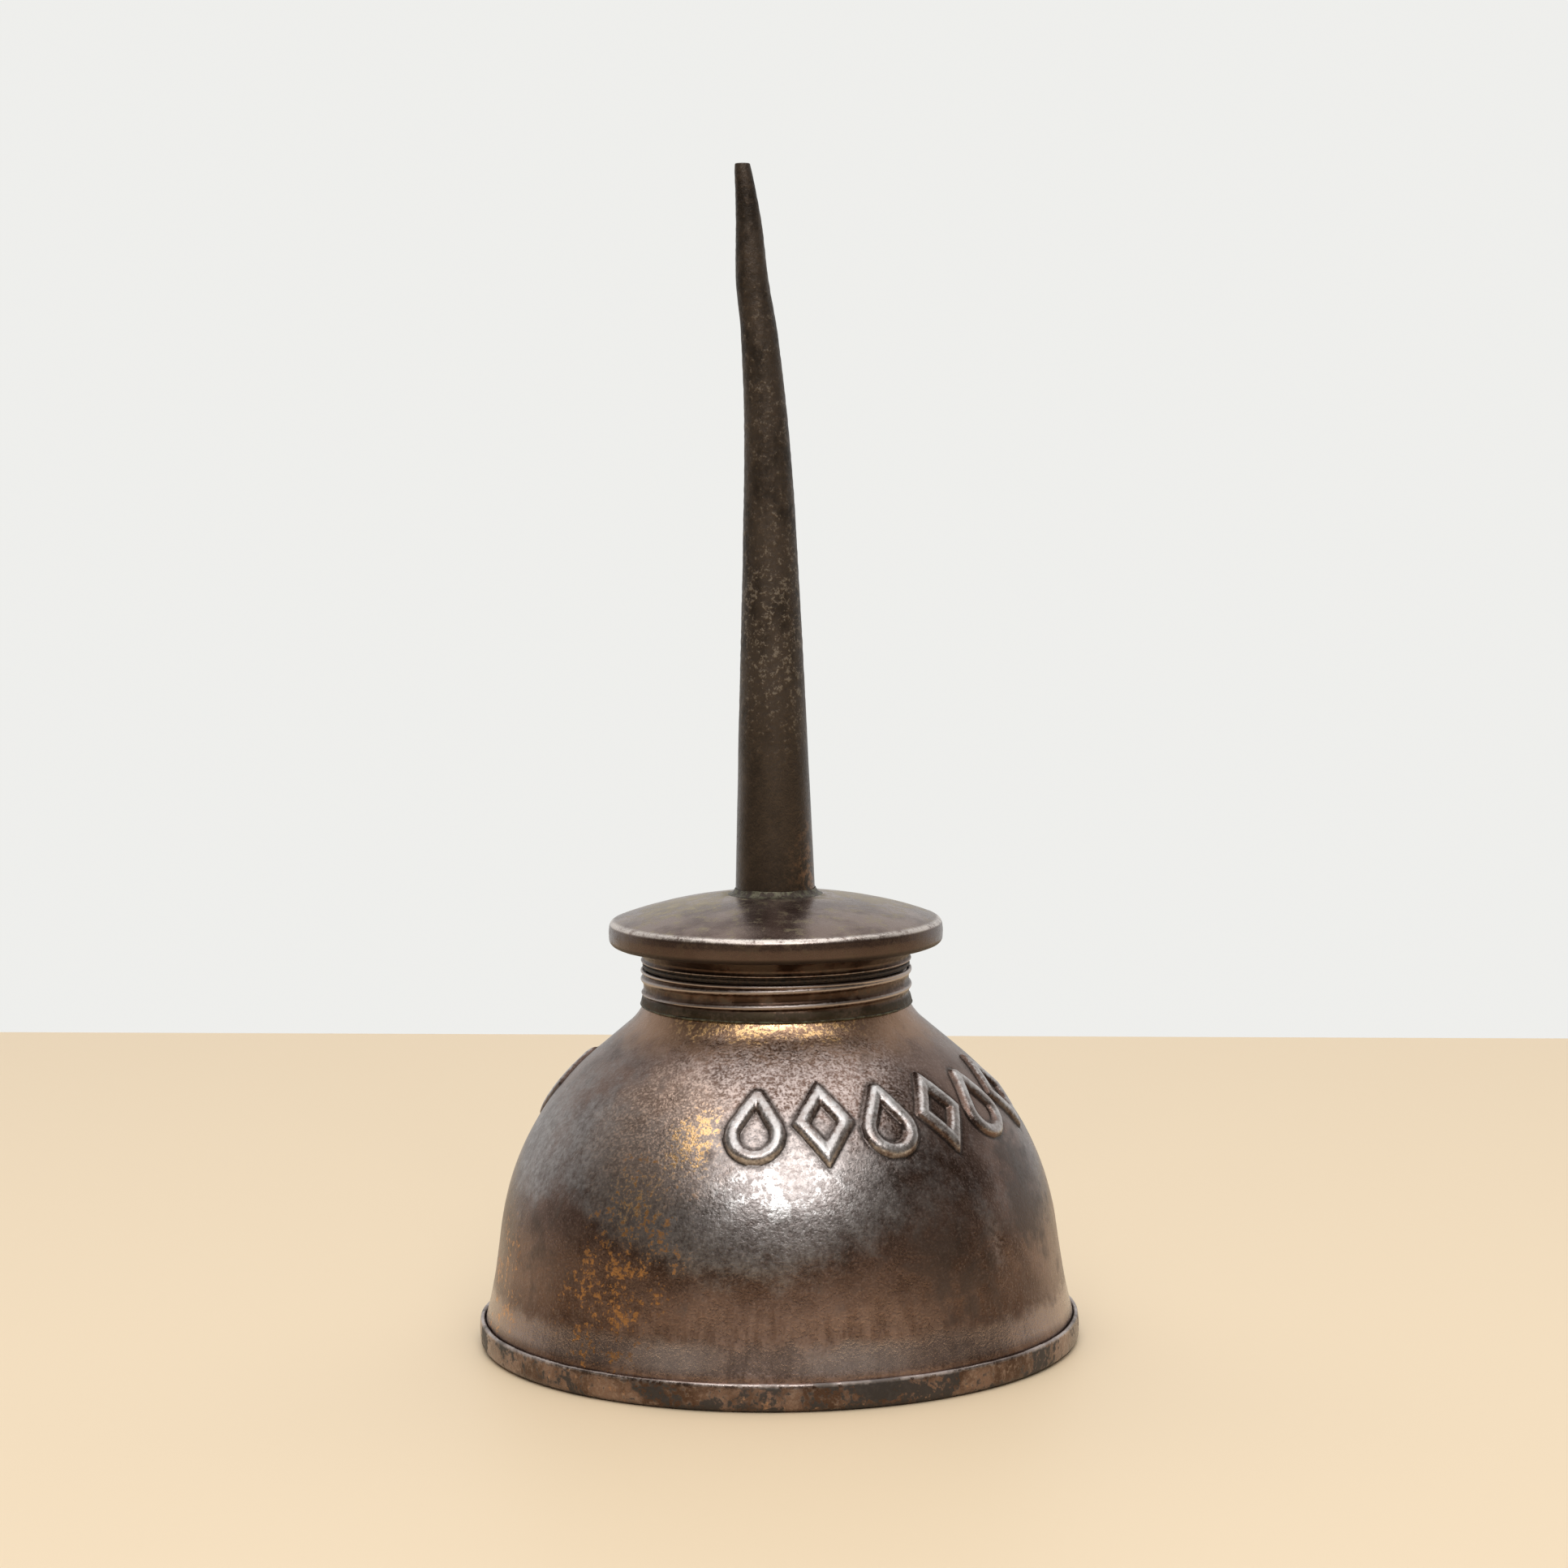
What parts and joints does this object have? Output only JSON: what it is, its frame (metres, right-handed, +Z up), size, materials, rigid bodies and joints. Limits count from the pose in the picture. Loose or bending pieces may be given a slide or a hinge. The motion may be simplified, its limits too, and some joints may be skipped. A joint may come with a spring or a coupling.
{
  "type": "thumb-press oiler can",
  "caption": "Small thumb-press oil can: drawn dome on a pressed base pan, screw cap and a long tapered spout with a bent tip.",
  "frame": {"origin": "middle of the flat ring on the base pan that the can stands on", "axes": "+Z up along the neck and the spout; -Y is the front; +X is to the right seen from the front, and the spout's tip is bent towards -X"},
  "size_m": [0.0635, 0.0634, 0.1236],
  "materials": {
    "body": "drawn steel with worn, dark copper plate",
    "base": "pressed steel with worn copper plate and dark patches",
    "solder": "dull dark soft solder",
    "neck": "rolled sheet steel, brown, green in the grooves and bright on the crests",
    "verdigris_solder": "solder seam gone green with verdigris",
    "bottom": "thin spring steel sheet with copper plate",
    "spring": "oiled spring steel",
    "rivet": "worn steel rivet",
    "leather": "oil-soaked leather washer",
    "cap": "pressed steel, glossy brown and olive patina",
    "spout": "tapered steel tube, dark, pitted and mottled"
  },
  "bodies": {
    "can": {"body_shell": "body", "base_pan": "base", "base_solder": "solder", "neck_ring": "neck", "neck_solder": "verdigris_solder"},
    "press": {"bottom_diaphragm": "bottom", "bow_spring": "spring", "rivet_washer": "spring", "centre_rivet": "rivet"},
    "washer": {"cap_gasket": "leather"},
    "spout_cap": {"cap_collar": "neck", "cap_disc": "cap", "spout_tube": "spout", "spout_solder": "verdigris_solder"}
  },
  "joints": [
    {"name": "bottom_press", "type": "slide", "parent": "can", "child": "press", "axis": [0, 0, 1], "range_m": [0, 0.0025], "stiffness_N_per_m": 10000, "deforming": ["bottom_diaphragm", "bow_spring"]},
    {"name": "cap_rise", "type": "slide", "parent": "can", "child": "washer", "axis": [0, 0, 1], "range_m": [0, 0.0032]},
    {"name": "cap_turn", "type": "hinge", "parent": "washer", "child": "spout_cap", "pos_m": [0, 0, 0.0404], "axis": [0, 0, 1], "range_deg": [0, 720]}
  ],
  "couplings": [
    {"joint": "cap_rise", "follows": "cap_turn", "m_per_rad": 0.00025266}
  ]
}
